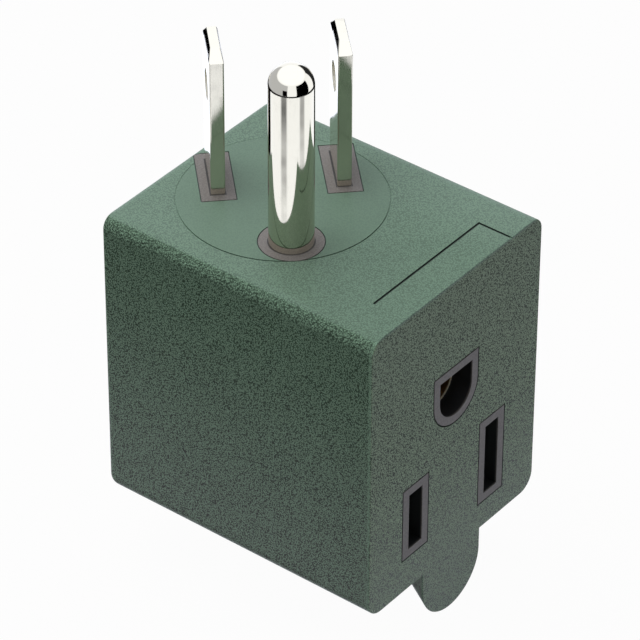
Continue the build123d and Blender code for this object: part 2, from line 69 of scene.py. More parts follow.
class Side(Enum):
    """The two blades of the plug, and the slots they pair with."""

    LINE = -1
    NEUTRAL = 1


class Slot(Enum):
    """The record's material slots of the pieces that are modelled here."""

    PVC = "green_pvc"
    NICKEL = "nickel_plate"


class Value:
    """A number socket that takes part in Python expressions."""

    def __init__(self, shader: "Shader", socket: bpy.types.NodeSocket) -> None:
        """Keep the socket and the shader that it belongs to.

        Args:
            shader: The shader that new Math nodes go into.
            socket: The output socket that holds the number.
        """
        self.shader = shader
        self.socket = socket

    def __add__(self, other: "Value | float") -> "Value":
        """Add."""
        return self.shader.math("ADD", self, other)

    def __radd__(self, other: float) -> "Value":
        """Add to a plain number."""
        return self.shader.math("ADD", other, self)

    def __sub__(self, other: "Value | float") -> "Value":
        """Subtract."""
        return self.shader.math("SUBTRACT", self, other)

    def __rsub__(self, other: float) -> "Value":
        """Subtract from a plain number."""
        return self.shader.math("SUBTRACT", other, self)

    def __mul__(self, other: "Value | float") -> "Value":
        """Multiply."""
        return self.shader.math("MULTIPLY", self, other)

    def __rmul__(self, other: float) -> "Value":
        """Multiply a plain number."""
        return self.shader.math("MULTIPLY", other, self)

    def __neg__(self) -> "Value":
        """Change the sign."""
        return self.shader.math("MULTIPLY", self, -1.0)

    def __abs__(self) -> "Value":
        """Drop the sign."""
        return self.shader.math("ABSOLUTE", self)

    def larger(self, other: "Value | float") -> "Value":
        """Return the larger of two numbers."""
        return self.shader.math("MAXIMUM", self, other)

    def ease(self, low: float, high: float) -> "Value":
        """Return a smooth step from 0 at low to 1 at high.

        Args:
            low: The value that gives 0.
            high: The value that gives 1.

        Returns:
            The eased value.
        """
        inputs = {"Value": self, "From Min": low, "From Max": high}
        step = self.shader.node("ShaderNodeMapRange", {"interpolation_type": "SMOOTHSTEP"}, inputs)
        return Value(self.shader, step.outputs["Result"])

    def ease_mm(self, low: float, high: float) -> "Value":
        """Return the smooth step of a length between two lengths in millimetres."""
        return self.ease(low * MM, high * MM)

    def within(self, low: float, high: float, soft: float) -> "Value":
        """Return 1 between two numbers and 0 outside them, with soft ends.

        Args:
            low: The lower end.
            high: The upper end.
            soft: The width of each soft end.

        Returns:
            The window's value.
        """
        rise = self.ease(low - soft / 2, low + soft / 2)
        return rise * (1.0 - self.ease(high - soft / 2, high + soft / 2))

    def within_mm(self, low: float, high: float, soft: float = STRIP_SOFTNESS) -> "Value":
        """Return the window of a length between two lengths in millimetres."""
        return self.within(low * MM, high * MM, soft * MM)


Feed = Value | bpy.types.NodeSocket | float | tuple


class Shader:
    """Builds the nodes of one material, of the world or of the floor."""

    def __init__(self, tree: bpy.types.NodeTree) -> None:
        """Empty the tree.

        Args:
            tree: The node tree to build in.
        """
        self.tree = tree
        tree.nodes.clear()

    @classmethod
    def for_material(cls, name: str) -> tuple[bpy.types.Material, "Shader"]:
        """Make a material and the shader that builds it."""
        material = bpy.data.materials.new(name)
        material.use_nodes = True
        return material, cls(material.node_tree)

    def node(self, kind: str, settings: dict | None = None,
             inputs: dict[str | int, Feed] | None = None) -> bpy.types.Node:
        """Add a node, give it its settings, and then feed its sockets.

        Args:
            kind: The node's type.
            settings: Its properties.
            inputs: What each input socket gets: a link or a plain value.

        Returns:
            The node.
        """
        node = self.tree.nodes.new(kind)
        for name, value in (settings or {}).items():
            setattr(node, name, value)
        for name, value in (inputs or {}).items():
            self.feed(node.inputs[name], value)
        return node

    def feed(self, socket: bpy.types.NodeSocket, value: Feed) -> None:
        """Link a socket or set its plain value."""
        if isinstance(value, Value):
            value = value.socket
        if isinstance(value, bpy.types.NodeSocket):
            self.tree.links.new(value, socket)
        else:
            socket.default_value = value

    def math(self, operation: str, *numbers: Value | float) -> Value:
        """Add a Math node.

        Args:
            operation: The Math node's operation.
            numbers: Its inputs in order.

        Returns:
            The result.
        """
        node = self.node("ShaderNodeMath", {"operation": operation}, dict(enumerate(numbers)))
        return Value(self, node.outputs[0])

    def distance(self, across: Value, along: Value) -> Value:
        """Return how far a point lies from zero in a plane."""
        return self.math("SQRT", across * across + along * along)

    @staticmethod
    def past_box(across: Value, along: Value, width: float, height: float) -> Value:
        """Return how far a point lies past the sides of a rectangle round zero.

        Args:
            across: The point's place along the width, in metres.
            along: Its place along the height, in metres.
            width: The rectangle's width, in millimetres.
            height: Its height, in millimetres.

        Returns:
            The distance in metres, which is negative inside.
        """
        return (abs(across) - width / 2 * MM).larger(abs(along) - height / 2 * MM)

    def position(self) -> bpy.types.NodeSocket:
        """Return the Object coordinates, which are metres in the part's frame."""
        return self.node("ShaderNodeTexCoord").outputs["Object"]

    def axes(self, vector: bpy.types.NodeSocket) -> tuple[Value, Value, Value]:
        """Split a vector into its three numbers."""
        split = self.node("ShaderNodeSeparateXYZ", inputs={"Vector": vector})
        return tuple(Value(self, socket) for socket in split.outputs)

    def noise(self, vector: Feed, size: float, detail: float, roughness: float = 0.5) -> Value:
        """Return a noise whose features are about the given size.

        Args:
            vector: The coordinates, in metres.
            size: The size of one feature, in millimetres.
            detail: The number of finer layers.
            roughness: How strong the finer layers are.

        Returns:
            The noise, from 0 to 1.
        """
        inputs = {"Vector": vector, "Scale": 1 / (size * MM), "Detail": detail,
                  "Roughness": roughness}
        return Value(self, self.node("ShaderNodeTexNoise", inputs=inputs).outputs["Fac"])

    def stretched(self, vector: bpy.types.NodeSocket, scale: Rgb) -> bpy.types.NodeSocket:
        """Return coordinates scaled along each axis, so that a pattern on them is drawn out."""
        inputs = {"Vector": vector, "Scale": scale}
        return self.node("ShaderNodeMapping", inputs=inputs).outputs["Vector"]

    def blend(self, factor: Feed, first: Feed, second: Feed, blend_type: str = "MIX"
              ) -> bpy.types.NodeSocket:
        """Mix two colours.

        Args:
            factor: 0 for the first colour and 1 for the second.
            first: The first colour.
            second: The second colour.
            blend_type: How the second colour is laid over the first.

        Returns:
            The mixed colour.
        """
        node = self.node("ShaderNodeMix", {"data_type": "RGBA", "blend_type": blend_type})
        self.feed(node.inputs["Factor"], factor)
        self.feed(node.inputs[6], first)
        self.feed(node.inputs[7], second)
        return node.outputs[2]

    def bump(self, height: Value, depth: float) -> bpy.types.NodeSocket:
        """Return a normal that is bumped by a height.

        Args:
            height: The height as a share of the depth.
            depth: The millimetres that a height of 1 stands for.

        Returns:
            The normal.
        """
        inputs = {"Height": height, "Distance": depth * MM, "Strength": 1.0}
        return self.node("ShaderNodeBump", inputs=inputs).outputs["Normal"]

    def finish_surface(self, inputs: dict[str, Feed]) -> None:
        """Close a material with a Principled shader."""
        surface = self.node("ShaderNodeBsdfPrincipled", inputs=inputs)
        self.node("ShaderNodeOutputMaterial", inputs={"Surface": surface.outputs["BSDF"]})


def srgb(red: int, green: int, blue: int) -> Rgba:
    """Turn a colour as a screen shows it into the linear colour that a shader takes."""
    def linear(channel: int) -> float:
        """Turn one channel linear."""
        share = channel / 255
        return share / 12.92 if share <= 0.04045 else ((share + 0.055) / 1.055) ** 2.4
    return (linear(red), linear(green), linear(blue), 1.0)


@dataclass(frozen=True)
class Zones:
    """Where a point of the housing lies: each mask is 1 in its zone and 0 outside it.

    The front is the outlet face with its edge, and the flat is that face alone. The rim runs
    behind the flat, and the rounding is the one along the plug face.
    """

    off_field: Value
    top: Value
    below_top: Value
    front: Value
    flat: Value
    rim: Value
    side: Value
    rounding: Value
    low: Value
    foot: Value


@dataclass(frozen=True)
class GrainedPvc:
    """Green moulded PVC with a fine spark-eroded grain, smoother inside the round field.

    Lengths are millimetres. A pair of them says where a mask starts to fade and where it ends.
    """

    plug: "PlugPattern"
    outlet: "OutletPattern"
    front_y: float
    name: str = "green_pvc_grain"
    dark: Rgba = srgb(30, 39, 32)
    light: Rgba = srgb(131, 162, 139)
    # The outlet face's painted light: warmer and greyer than the other faces.
    front_painted_light: Rgba = (1.06, 1.0, 0.8, 1.0)
    # The pinkish grey of the painted bounce light from the floor.
    floor_bounce_paint: Rgba = (0.4, 0.37, 0.385, 1.0)
    # Dark seams round the collars and frames; inside the rule's groove this colour is painted
    # shade.
    groove: Rgba = srgb(30, 37, 32)
    grain_size: float = 0.155
    coarse_size: float = 0.26
    cloud_size: float = 6.0
    grain_depth: float = 0.012
    seam: float = 0.1
    front_seam: float = 0.15
    seam_strength: float = 0.9
    # Past the circle's radius.
    field_edge: Span = (-0.25, 0.05)
    # Below the plug face.
    top_edge: Span = (0.2, 0.3)
    below_edge: Span = (0.05, 0.4)
    side_edge: Span = (0.2, 2.6)
    rounding_edge: Span = (0.9, 1.8)
    low_edge: Span = (0.0, 36.0)
    foot_edge: Span = (32.6, 34.4)
    # Behind the outlet face.
    flat_edge: Span = (0.02, 0.08)
    front_edge: Span = (0.13, 0.18)
    rim_edge: Span = (0.3, 0.42)
    # The zone of the rule's groove, which is painted in shade: along X to both sides, along -Y, and
    # in depth.
    rule_side: Span = (11.8, 12.0)
    rule_front: Span = (12.0, 21.6)
    rule_depth: Span = (0.04, 0.3)
    # How strongly the grain shows in the colour, partly painted shading of its relief on the sides
    # and the rounding,
    # and what lies over it: painted highlights on the rim and the rounding, painted bounce light
    # low down and at the foot.
    base_contrast: float = 0.08
    off_field_contrast: float = 0.18
    side_contrast: float = 0.5
    rounding_contrast: float = 0.35
    low_contrast: float = 0.35
    cloud_contrast: float = 0.1
    grain_middle: float = 0.47
    rim_painted_highlight: float = 0.3
    rounding_painted_highlight: float = 0.04
    low_bounce_paint: float = 0.12
    foot_bounce_paint: float = 0.2
    # How high the grain stands, as shares of its depth.
    base_relief: float = 0.1
    off_field_relief: float = 0.3
    below_relief: float = 0.4
    rounding_relief: float = 7.0
    # How glossy the skin is, and where the plug face's gloss changes towards the front and right.
    top_gloss: float = 0.8
    top_gloss_loss: float = 0.3
    right_gloss: float = 0.4
    front_gloss: float = 0.75
    front_gloss_base: float = 0.6
    front_gloss_grain: float = 0.8
    low_gloss: float = 0.95
    seam_gloss_loss: float = 0.9
    gloss_front: Span = (-8.0, 22.0)
    gloss_right: Span = (2.0, 14.0)

    def make(self) -> bpy.types.Material:
        """Build the material."""
        material, shader = Shader.for_material(self.name)
        place = shader.position()
        x, y, z = shader.axes(place)
        zones = self.zones(shader, x, y, z)
        cells = shader.node("ShaderNodeTexVoronoi", {"feature": "F1"}, {
            "Vector": place, "Scale": 1 / (self.grain_size * MM)})
        fine = Value(shader, cells.outputs["Distance"])
        grain = 1.0 - fine.ease(0.25, 0.75)
        clouds = shader.noise(place, self.cloud_size, detail=2.0)
        coarse = shader.noise(place, self.coarse_size, detail=1.0).ease(0.35, 0.65)
        top_seams = zones.top * self.plug.band(shader, x, y, self.plug.margin, self.seam)
        front_seams = zones.front * self.outlet.band(shader, x, z, self.front_seam)
        seams = top_seams.larger(front_seams) * self.seam_strength
        # Painted bounce light: the green turns lighter and pinker low down and most at the foot,
        # except on the outlet face.
        floor_bounce_paint = (zones.low * self.low_bounce_paint + zones.foot * self.foot_bounce_paint) * (1.0 - zones.front)
        colour = shader.blend(self.tone(zones, grain, clouds), self.dark, self.light)
        colour = shader.blend(floor_bounce_paint, colour, self.floor_bounce_paint)
        # Painted light on the outlet face: it is tinted warmer and greyer.
        colour = shader.blend(zones.flat, colour, self.front_painted_light, "MULTIPLY")
        # Dark seams, and painted shade inside the rule's groove.
        colour = shader.blend(seams.larger(self.rule_groove_shade(x, y, z)), colour, self.groove)
        gloss = self.gloss(zones, grain, x, y) * (1.0 - front_seams * self.seam_gloss_loss)
        normal = shader.bump(self.relief(zones, grain, coarse), self.grain_depth)
        shader.finish_surface({"Base Color": colour, "Roughness": 0.5 + (fine - 0.5) * 0.25,
                               "Normal": normal, "Specular IOR Level": 0.0,
                               "Coat Weight": gloss, "Coat Roughness": 0.5})
        return material

    def zones(self, shader: Shader, x: Value, y: Value, z: Value) -> Zones:
        """Return the zones' masks at a point.

        Args:
            shader: The shader to build in.
            x: The X coordinate, in metres.
            y: The Y coordinate, in metres.
            z: The Z coordinate, in metres.

        Returns:
            The masks.
        """
        inner, outer = (self.plug.field_radius + edge for edge in self.field_edge)
        down = -z
        behind = y - self.front_y * MM
        below_top = down.ease_mm(*self.below_edge)
        front = 1.0 - behind.ease_mm(*self.front_edge)
        flat = (1.0 - behind.ease_mm(*self.flat_edge)) * below_top
        return Zones(
            off_field=shader.distance(x, y).ease_mm(inner, outer),
            top=1.0 - down.ease_mm(*self.top_edge),
            below_top=below_top,
            front=front,
            flat=flat,
            rim=(1.0 - behind.ease_mm(*self.rim_edge)) * (1.0 - flat) * below_top,
            side=down.ease_mm(*self.side_edge).larger(front * below_top),
            rounding=below_top * (1.0 - down.ease_mm(*self.rounding_edge)) * (1.0 - front),
            low=down.ease_mm(*self.low_edge),
            foot=down.ease_mm(*self.foot_edge))

    def tone(self, zones: Zones, grain: Value, clouds: Value) -> Value:
        """Return how light the green is, from 0 for dark to 1 for light, with painted highlights on
        the rim and the rounding.

        Args:
            zones: The zones' masks.
            grain: The fine grain.
            clouds: The broad unevenness of the green.

        Returns:
            The tone.
        """
        # On the sides and the rounding the grain's stronger tone is partly painted shading of its
        # relief.
        contrast = (self.base_contrast + zones.off_field * self.off_field_contrast
                    + zones.side * self.side_contrast + zones.rounding * self.rounding_contrast
                    + zones.low * self.low_contrast)
        # The rim and the rounding are lifted lighter as painted highlights.
        return ((grain - self.grain_middle) * contrast + (clouds - 0.5) * self.cloud_contrast
                + zones.rim * self.rim_painted_highlight + zones.rounding * self.rounding_painted_highlight + 0.5)

    def relief(self, zones: Zones, grain: Value, coarse: Value) -> Value:
        """Return the height of the grain, with a coarser one on the rounding."""
        share = (self.base_relief + zones.off_field * self.off_field_relief
                 + zones.below_top * self.below_relief)
        return grain * share + coarse * zones.rounding * self.rounding_relief

    def rule_groove_shade(self, x: Value, y: Value, z: Value) -> Value:
        """Return 1 inside the groove of the rule on the plug face, where its shade is painted."""
        inner = 1.0 - abs(x).ease_mm(*self.rule_side)
        along = (-y).within_mm(*self.rule_front, soft=0.1)
        return along * inner * (-z).within_mm(*self.rule_depth, soft=0.04)

    def gloss(self, zones: Zones, grain: Value, x: Value, y: Value) -> Value:
        """Return the weight of the glossy skin, apart from the seams.

        Args:
            zones: The zones' masks.
            grain: The fine grain.
            x: The X coordinate, in metres.
            y: The Y coordinate, in metres.

        Returns:
            The weight.
        """
        toward_front = (-y).ease_mm(*self.gloss_front)
        toward_right = x.ease_mm(*self.gloss_right) * toward_front
        top = zones.top * (self.top_gloss - toward_front * self.top_gloss_loss
                           + toward_right * self.right_gloss)
        front = zones.front * self.front_gloss * (
            self.front_gloss_base + grain * self.front_gloss_grain)
        return top.larger(front).larger(zones.below_top * zones.low * self.low_gloss)


@dataclass(frozen=True)
class CorePlastic:
    """Brown-grey nylon of the cores; what lies inside an opening is painted in deep shade."""

    plug: "PlugPattern"
    front_y: float
    name: str = "core_nylon"
    light: Rgba = srgb(121, 117, 113)
    dark: Rgba = srgb(100, 95, 91)
    # Nearly black: painted deep shade inside the openings.
    deep: Rgba = srgb(4, 4, 4)
    seam: float = 0.1
    seam_shade: float = 0.85
    speckle_size: float = 0.2
    speckle_depth: float = 0.008
    # Behind the outlet face and below the plug face.
    mouth_edge: Span = (0.02, 0.25)
    collar_edge: Span = (2.0, 2.5)

    def make(self) -> bpy.types.Material:
        """Build the material."""
        material, shader = Shader.for_material(self.name)
        place = shader.position()
        x, y, z = shader.axes(place)
        speckle = shader.noise(place, self.speckle_size, detail=2.0, roughness=0.6)
        face = shader.blend(speckle.ease(0.25, 0.75), self.dark, self.light)
        # Painted shade: deep inside the openings, and a dark band round the prongs' feet.
        behind_front = y.ease_mm(*(self.front_y + edge for edge in self.mouth_edge))
        below_collars = (-z).ease_mm(*self.collar_edge)
        foot = self.plug.band(shader, x, y, 0.0, self.seam) * (1.0 - below_collars)
        shade = (behind_front * below_collars).larger(foot * self.seam_shade)
        shader.finish_surface({"Base Color": shader.blend(shade, face, self.deep),
                               "Roughness": 0.5 + (speckle - 0.5) * 0.2,
                               "Normal": shader.bump(speckle, self.speckle_depth),
                               "Specular IOR Level": 0.35})
        return material


@dataclass(frozen=True)
class NickelPlate:
    """Polished nickel plate, with the faint waves of the rolled metal below it."""

    plug: "PlugPattern"
    name: str = "polished_nickel"
    colour: Rgba = (0.66, 0.62, 0.51, 1.0)
    dull: Rgba = (0.58, 0.54, 0.43, 1.0)
    roughness: float = 0.06
    drawn_roughness: float = 0.02
    grime_roughness: float = 0.03
    edge_roughness: float = 0.0
    hole_roughness: float = 0.4
    grime_strength: float = 0.3
    wave_size: float = 4.0
    wave_depth: float = 0.02
    grime_size: float = 1.2
    drawn_size: float = 0.12
    drawn_stretch: Rgb = (1.0, 1.0, 0.06)
    # Inside a blade's narrow face, and outside the wall of its hole.
    edge_reach: Span = (0.02, 0.06)
    hole_reach: Span = (0.01, 0.03)

    def make(self) -> bpy.types.Material:
        """Build the material."""
        material, shader = Shader.for_material(self.name)
        place = shader.position()
        waves = shader.noise(place, self.wave_size, detail=1.0)
        grime = shader.noise(place, self.grime_size, detail=4.0, roughness=0.6)
        drawn = shader.noise(shader.stretched(place, self.drawn_stretch), self.drawn_size,
                             detail=2.0)
        colour = shader.blend(grime.ease(0.55, 0.85) * self.grime_strength, self.colour,
                              self.dull)
        x, y, z = shader.axes(place)
        turn = math.radians(self.plug.turn)
        aside = y * math.cos(turn) - x * math.sin(turn) - self.plug.blade_setback * MM
        from_edge = aside + self.plug.blade_width / 2 * MM
        from_hole = shader.distance(aside, z - Blade.hole_height * MM) - Blade.hole_radius * MM
        roughness = (self.roughness + drawn.ease(0.4, 0.7) * self.drawn_roughness
                     + grime.ease(0.5, 0.8) * self.grime_roughness
                     + (1.0 - from_edge.ease_mm(*self.edge_reach)) * self.edge_roughness
                     + (1.0 - from_hole.ease_mm(*self.hole_reach)) * self.hole_roughness)
        shader.finish_surface({"Base Color": colour, "Roughness": roughness, "Metallic": 1.0,
                               "Normal": shader.bump(waves, self.wave_depth)})
        return material


@dataclass(frozen=True)
class SpringBrass:
    """Rolled brass strip of the contacts, straps and rivets, with a painted highlight along the cut
    edges in front.
    """

    front_y: float = -19.5
    name: str = "rolled_brass"
    bright: Rgba = srgb(222, 194, 138)
    dull: Rgba = srgb(176, 142, 88)
    # The near-white colour of the painted highlight along the front edges.
    cut: Rgba = srgb(255, 244, 214)
    highlight_edge: Span = (0.02, 0.12)
    highlight_dulling: float = 0.9
    drawn_size: float = 0.15
    drawn_stretch: Rgb = (1.0, 0.08, 1.0)
    drawn_depth: float = 0.006
    stain_size: float = 1.6

    def make(self) -> bpy.types.Material:
        """Build the material."""
        material, shader = Shader.for_material(self.name)
        place = shader.position()
        _, y, _ = shader.axes(place)
        drawn = shader.noise(shader.stretched(place, self.drawn_stretch), self.drawn_size,
                             detail=3.0)
        stain = shader.noise(place, self.stain_size, detail=3.0, roughness=0.6)
        # A painted highlight along the front edges: nearly white and hardly metallic.
        cut = 1.0 - (y - self.front_y * MM).ease_mm(*self.highlight_edge)
        colour = shader.blend(stain.ease(0.35, 0.75), self.bright, self.dull)
        shader.finish_surface({"Base Color": shader.blend(cut, colour, self.cut),
                               "Metallic": 1.0 - cut * self.highlight_dulling,
                               "Roughness": 0.24 + drawn * 0.14,
                               "Normal": shader.bump(drawn, self.drawn_depth)})
        return material


class Modeller:
    """Turns bmesh shapes in millimetres into finished pieces in metres."""

    merge_distance = 1e-3
    flat_face_weight = 90

    @staticmethod
    def box(x: Span, y: Span, z: Span) -> bmesh.types.BMesh:
        """Return a box that spans three pairs of coordinates."""
        shape = bmesh.new()
        bmesh.ops.create_cube(shape, size=1.0)
        sizes = [high - low for low, high in (x, y, z)]
        middle = [(high + low) / 2 for low, high in (x, y, z)]
        bmesh.ops.scale(shape, vec=sizes, verts=shape.verts)
        bmesh.ops.translate(shape, vec=middle, verts=shape.verts)
        return shape

    @staticmethod
    def rod(radius: float, ends: Span, axis: str = "Z", at: Span = (0.0, 0.0),
            sides: int = ROUND_SIDES) -> bmesh.types.BMesh:
        """Return a cylinder along an axis.

        Args:
            radius: Its radius.
            ends: Where it starts and ends along the axis.
            axis: X or Z.
            at: The other two coordinates of its axis, in X, Y, Z order.
            sides: The number of its sides.

        Returns:
            The cylinder.
        """
        shape = bmesh.new()
        low, high = ends
        bmesh.ops.create_cone(shape, cap_ends=True, segments=sides, radius1=radius,
                              radius2=radius, depth=high - low)
        middle = (low + high) / 2
        if axis == "X":
            bmesh.ops.rotate(shape, matrix=Matrix.Rotation(math.pi / 2, 3, "Y"),
                             verts=shape.verts)
        place = (middle, *at) if axis == "X" else (*at, middle)
        bmesh.ops.translate(shape, vec=place, verts=shape.verts)
        return shape

    @staticmethod
    def upright_disc(radius: float) -> bmesh.types.BMesh:
        """Return a flat disc round the origin that faces along Y."""
        shape = bmesh.new()
        bmesh.ops.create_circle(shape, cap_ends=True, radius=radius, segments=ROUND_SIDES)
        bmesh.ops.rotate(shape, matrix=Matrix.Rotation(math.pi / 2, 3, "X"), verts=shape.verts)
        return shape

    @staticmethod
    def extrude(shape: bmesh.types.BMesh, faces: list[bmesh.types.BMFace], shift: Vector | Point
                ) -> list[bmesh.types.BMVert]:
        """Extrude faces, shift their far end and return its vertices."""
        grown = bmesh.ops.extrude_face_region(shape, geom=faces)["geom"]
        moved = [item for item in grown if isinstance(item, bmesh.types.BMVert)]
        bmesh.ops.translate(shape, vec=shift, verts=moved)
        return moved

    @staticmethod
    def on_plane(y: float) -> Callable[[bmesh.types.BMEdge], bool]:
        """Return a test for the edges that lie on the plane at y."""
        return lambda edge: all(abs(vert.co.y - y) < TOUCH for vert in edge.verts)

    @staticmethod
    def bevel_where(shape: bmesh.types.BMesh, test: Callable[[bmesh.types.BMEdge], bool],
                    radius: float, segments: int) -> None:
        """Round the edges that pass a test."""
        edges = [edge for edge in shape.edges if test(edge)]
        bmesh.ops.bevel(shape, geom=edges, offset=radius, offset_type="OFFSET",
                        segments=segments, profile=0.5, affect="EDGES", material=-1,
                        clamp_overlap=True)

    @staticmethod
    def turned(shape: bmesh.types.BMesh, degrees: float, shift: Vector | Point = (0, 0, 0)
               ) -> bmesh.types.BMesh:
        """Shift a shape and then turn it about Z."""
        bmesh.ops.translate(shape, vec=shift, verts=shape.verts)
        bmesh.ops.rotate(shape, matrix=Matrix.Rotation(math.radians(degrees), 3, "Z"),
                         verts=shape.verts)
        return shape

    @staticmethod
    def to_object(shape: bmesh.types.BMesh, name: str) -> bpy.types.Object:
        """Make an object of a shape and free the shape."""
        bmesh.ops.recalc_face_normals(shape, faces=shape.faces)
        mesh = bpy.data.meshes.new(name)
        shape.to_mesh(mesh)
        shape.free()
        piece = bpy.data.objects.new(name, mesh)
        bpy.context.scene.collection.objects.link(piece)
        return piece

    @classmethod
    def cut(cls, piece: bpy.types.Object, shapes: Iterable[bmesh.types.BMesh],
            operation: str = "DIFFERENCE") -> None:
        """Cut shapes out of a piece, or join them to it.

        Args:
            piece: The piece, whose mesh is replaced.
            shapes: The shapes, which are used up.
            operation: DIFFERENCE or UNION.
        """
        tools = [cls.to_object(shape, f"{piece.name}_tool") for shape in shapes]
        for tool in tools:
            boolean = piece.modifiers.new("cut", "BOOLEAN")
            boolean.operation = operation
            boolean.solver = "EXACT"
            boolean.object = tool
        cls.bake_modifiers(piece)
        for tool in tools:
            bpy.data.meshes.remove(tool.data)

    @staticmethod
    def bake_modifiers(piece: bpy.types.Object) -> None:
        """Replace a piece's mesh by what its modifiers make of it."""
        graph = bpy.context.evaluated_depsgraph_get()
        mesh = bpy.data.meshes.new_from_object(piece.evaluated_get(graph))
        old = piece.data
        piece.modifiers.clear()
        piece.data = mesh
        bpy.data.meshes.remove(old)
        mesh.name = piece.name

    @classmethod
    def clean(cls, mesh: bpy.types.Mesh) -> None:
        """Merge a mesh's doubles and dissolve its faces without area."""
        shape = bmesh.new()
        shape.from_mesh(mesh)
        bmesh.ops.remove_doubles(shape, verts=shape.verts, dist=cls.merge_distance)
        bmesh.ops.dissolve_degenerate(shape, edges=shape.edges, dist=cls.merge_distance)
        shape.to_mesh(mesh)
        shape.free()

    @classmethod
    def finish(cls, piece: bpy.types.Object, material: bpy.types.Material, slot: Slot,
               node: str, sharp_degrees: float = 35.0) -> None:
        """Clean and shade a piece, bring it to metres and let it stand for its CAD node.

        Args:
            piece: The piece, in millimetres.
            material: Its material.
            slot: The record's slot of that material; not used.
            node: The CAD node that it replaces.
            sharp_degrees: Edges that turn by more than this stay sharp.
        """
        mesh = piece.data
        cls.clean(mesh)
        mesh.transform(Matrix.Scale(MM, 4))
        mesh.materials.clear()
        mesh.materials.append(material)
        mesh.shade_smooth()
        mesh.set_sharp_from_angle(angle=math.radians(sharp_degrees))
        weighted = piece.modifiers.new("flat faces stay flat", "WEIGHTED_NORMAL")
        weighted.keep_sharp = True
        weighted.weight = cls.flat_face_weight
        cls.bake_modifiers(piece)
        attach(piece, "root")
        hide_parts(node)
        LOG.info("%s: %d faces", piece.name, len(piece.data.polygons))


@dataclass
class PlugPattern:
    """Where the prongs stand. Local X runs to the neutral blade and local Y away from the pin."""

    turn: float = -45.0
    blade_x: float = 6.35
    ground_offset: float = 11.9
    blade_setback: float = 4.45
    blade_thickness: float = 1.48
    blade_width: float = 6.35
    pin_radius: float = 2.3
    margin: float = 1.0

    @property
    def pin_y(self) -> float:
        """Return the pin's place on local Y."""
        return self.blade_setback - self.ground_offset

    @property
    def field_radius(self) -> float:
        """Return the radius of the circle that touches the pin's collar."""
        return self.pin_radius + self.margin - self.pin_y

    def band(self, shader: Shader, x: Value, y: Value, margin: float, width: float) -> Value:
        """Return 1 in a narrow band round each prong, seen in plan.

        Args:
            shader: The shader to build in.
            x: The X coordinate, in metres.
            y: The Y coordinate, in metres.
            margin: How far outside the prongs the band starts.
            width: The band's width.

        Returns:
            The bands' mask.
        """
        turn = math.radians(self.turn)
        local_x = x * math.cos(turn) + y * math.sin(turn)
        local_y = y * math.cos(turn) - x * math.sin(turn)
        past_pin = shader.distance(local_x, local_y - self.pin_y * MM) - self.pin_radius * MM
        past_blade = shader.past_box(
            abs(local_x) - self.blade_x * MM, local_y - self.blade_setback * MM,
            self.blade_thickness, self.blade_width)
        return past_pin.within_mm(margin, margin + width).larger(
            past_blade.within_mm(margin, margin + width))

    def outlines(self, margin: float, z: Span) -> list[bmesh.types.BMesh]:
        """Return the prongs' outlines as solids, grown by a margin."""
        half_thickness = self.blade_thickness / 2 + margin
        half_width = self.blade_width / 2 + margin
        shapes = [Modeller.rod(self.pin_radius + margin, z, at=(0.0, self.pin_y))]
        for x in (-self.blade_x, self.blade_x):
            shapes.append(Modeller.box(
                (x - half_thickness, x + half_thickness),
                (self.blade_setback - half_width, self.blade_setback + half_width), z))
        return [Modeller.turned(shape, self.turn) for shape in shapes]


@dataclass
class OutletPattern:
    """Where the outlet's openings lie on the front face."""

    slot_x: float = 6.35
    ground_z: float = -14.0
    ground_offset: float = 11.9
    ground_radius: float = 2.65
    ground_flat: float = 2.5
    slot_width: float = 2.2
    line_height: float = 6.9
    neutral_height: float = 8.6
    frame_margin: float = 0.95

    @property
    def slot_z(self) -> float:
        """Return the height of the slots' middle."""
        return self.ground_z - self.ground_offset

    def band(self, shader: Shader, x: Value, z: Value, width: float) -> Value:
        """Return 1 in a narrow band round each frame, seen from the front.

        Args:
            shader: The shader to build in.
            x: The X coordinate, in metres.
            z: The Z coordinate, in metres.
            width: The band's width.

        Returns:
            The bands' mask.
        """
        edges = (self.frame_margin, self.frame_margin + width)
        above = z - self.ground_z * MM
        past_round = shader.distance(x, above) - self.ground_radius * MM
        past_flat = (abs(x) - self.ground_radius * MM).larger(above - self.ground_flat * MM)
        low_half = 1.0 - above.ease_mm(-0.01, 0.01)
        mask = (past_round.within_mm(*edges) * low_half).larger(
            past_flat.within_mm(*edges) * (1.0 - low_half))
        for side in Side:
            past_slot = shader.past_box(x - side.value * self.slot_x * MM, z - self.slot_z * MM,
                                        self.slot_width, self.slot_height(side))
            mask = mask.larger(past_slot.within_mm(*edges))
        return mask

    def slot_height(self, side: Side) -> float:
        """Return the height of a slot."""
        return self.line_height if side is Side.LINE else self.neutral_height

    def slot(self, side: Side, margin: float, y: Span) -> bmesh.types.BMesh:
        """Return a slot's outline as a solid, grown by a margin."""
        half_width = self.slot_width / 2 + margin
        half_height = self.slot_height(side) / 2 + margin
        x = side.value * self.slot_x
        return Modeller.box((x - half_width, x + half_width), y,
                            (self.slot_z - half_height, self.slot_z + half_height))

    def ground(self, margin: float, y: Span) -> bmesh.types.BMesh:
        """Return the ground hole's outline as a solid: round below, flat above.

        Args:
            margin: How far the outline grows on all sides.
            y: Where the solid starts and ends.

        Returns:
            The solid.
        """
        radius = self.ground_radius + margin
        shape = Modeller.upright_disc(radius)
        for vert in shape.verts:
            if vert.co.z > TOUCH:
                vert.co.x = math.copysign(radius, vert.co.x)
                vert.co.z = self.ground_flat + margin
        bmesh.ops.remove_doubles(shape, verts=shape.verts, dist=TOUCH)
        bmesh.ops.translate(shape, vec=(0, y[0], self.ground_z), verts=shape.verts)
        Modeller.extrude(shape, list(shape.faces), (0, y[1] - y[0], 0))
        return shape

    def outlines(self, margin: float, y: Span) -> list[bmesh.types.BMesh]:
        """Return all three outlines as solids, grown by a margin."""
        return [self.slot(Side.LINE, margin, y), self.slot(Side.NEUTRAL, margin, y),
                self.ground(margin, y)]


